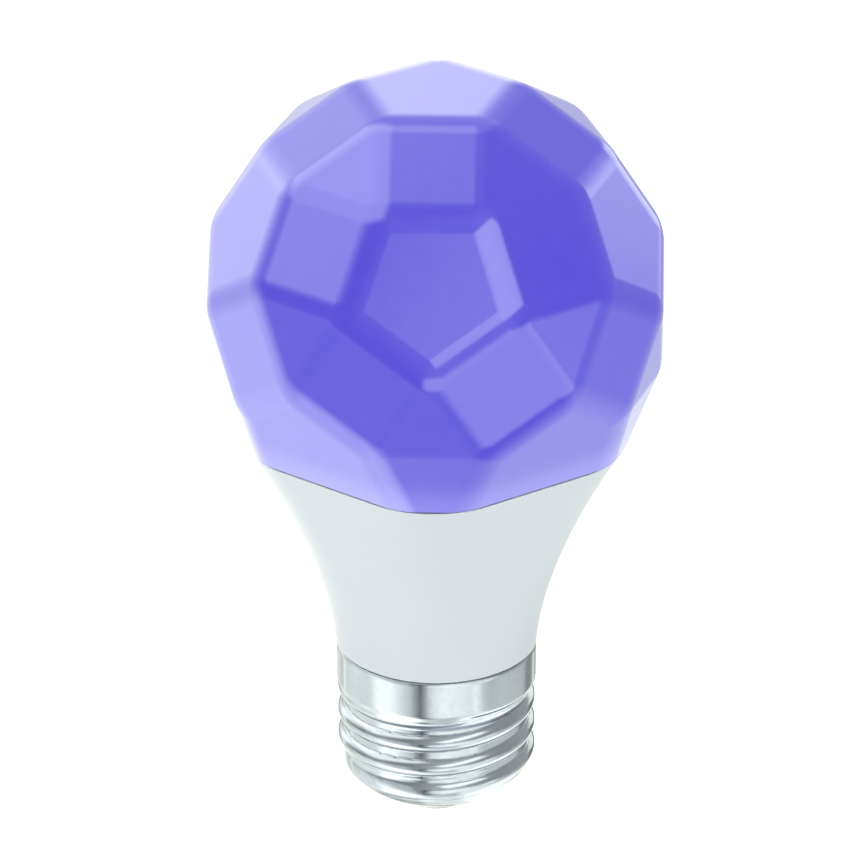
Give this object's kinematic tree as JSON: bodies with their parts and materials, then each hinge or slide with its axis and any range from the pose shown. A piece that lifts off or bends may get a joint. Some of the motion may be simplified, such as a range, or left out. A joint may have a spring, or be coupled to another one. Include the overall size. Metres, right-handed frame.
{
  "type": "smart light bulb",
  "caption": "Faceted LED smart bulb with a translucent polyhedral head, a flared white housing and a medium Edison screw cap, for a lampholder.",
  "frame": {"origin": "centre of the flat end of the centre contact, the lowest point of the cap, on the bulb's axis", "axes": "+Z along the bulb's axis from the cap to the top of the head; -Y faces the front, where one upper pentagon facet and one corner of the seam point; +X is to the right seen from the front"},
  "size_m": [0.0588, 0.061, 0.1028],
  "materials": {
    "diffuser_plastic": "glossy translucent polycarbonate, lit violet blue",
    "housing_plastic": "satin white thermally conductive plastic",
    "silicone": "cured grey silicone bead",
    "aluminium": "spun aluminium",
    "sleeve_plastic": "insulating polybutylene sleeve",
    "pad_silicone": "soft heat conducting pad",
    "white_board": "aluminium core board with white solder mask",
    "package_plastic": "white reflective LED package",
    "warm_phosphor": "amber phosphor silicone",
    "cool_phosphor": "pale yellow phosphor silicone",
    "clear_silicone": "clear silicone over red, green and blue chips",
    "screw_steel": "zinc plated steel",
    "connector_plastic": "ivory connector plastic",
    "gold_pins": "gold flashed brass",
    "green_board": "glass epoxy board with green solder mask",
    "radio_laminate": "glass epoxy board with blue black solder mask",
    "can_sleeve": "shrink sleeve on an aluminium can",
    "resistor_coat": "flameproof lacquer",
    "varistor_coat": "blue epoxy coat",
    "ferrite": "grey black ferrite",
    "copper_wire": "enamelled copper wire",
    "winding_tape": "yellow polyester tape over the winding",
    "chip_epoxy": "black moulding compound",
    "shield_metal": "tinned steel can",
    "antenna_copper": "printed copper under lacquer",
    "live_insulation": "red wire insulation",
    "neutral_insulation": "white wire insulation",
    "nickel_plate": "bright nickel plated brass",
    "cap_insulation": "white moulded insulator",
    "contact_metal": "nickel plated brass"
  },
  "bodies": {
    "root": {"diffuser": "diffuser_plastic", "diffuser_adhesive": "silicone", "housing": "housing_plastic", "heat_sink_cup": "aluminium", "driver_sleeve": "sleeve_plastic", "thermal_pad": "pad_silicone", "led_board": "white_board", "warm_white_leds": "package_plastic", "warm_white_lenses": "warm_phosphor", "cool_white_leds": "package_plastic", "cool_white_lenses": "cool_phosphor", "colour_leds": "package_plastic", "colour_lenses": "clear_silicone", "led_board_screws": "screw_steel", "board_socket": "connector_plastic", "header_base": "connector_plastic", "header_pins": "gold_pins", "driver_board": "green_board", "input_capacitor": "can_sleeve", "output_capacitor": "can_sleeve", "fusible_resistor": "resistor_coat", "varistor": "varistor_coat", "filter_inductor_core": "ferrite", "filter_inductor_winding": "copper_wire", "bridge_rectifier": "chip_epoxy", "driver_chip": "chip_epoxy", "output_diode": "chip_epoxy", "transformer_core": "ferrite", "transformer_winding": "winding_tape", "radio_board": "radio_laminate", "radio_shield": "shield_metal", "radio_chip": "chip_epoxy", "antenna_trace": "antenna_copper", "live_lead": "live_insulation", "neutral_lead": "neutral_insulation", "screw_shell": "nickel_plate", "cap_insulator": "cap_insulation", "centre_contact": "contact_metal"}
  },
  "joints": []
}
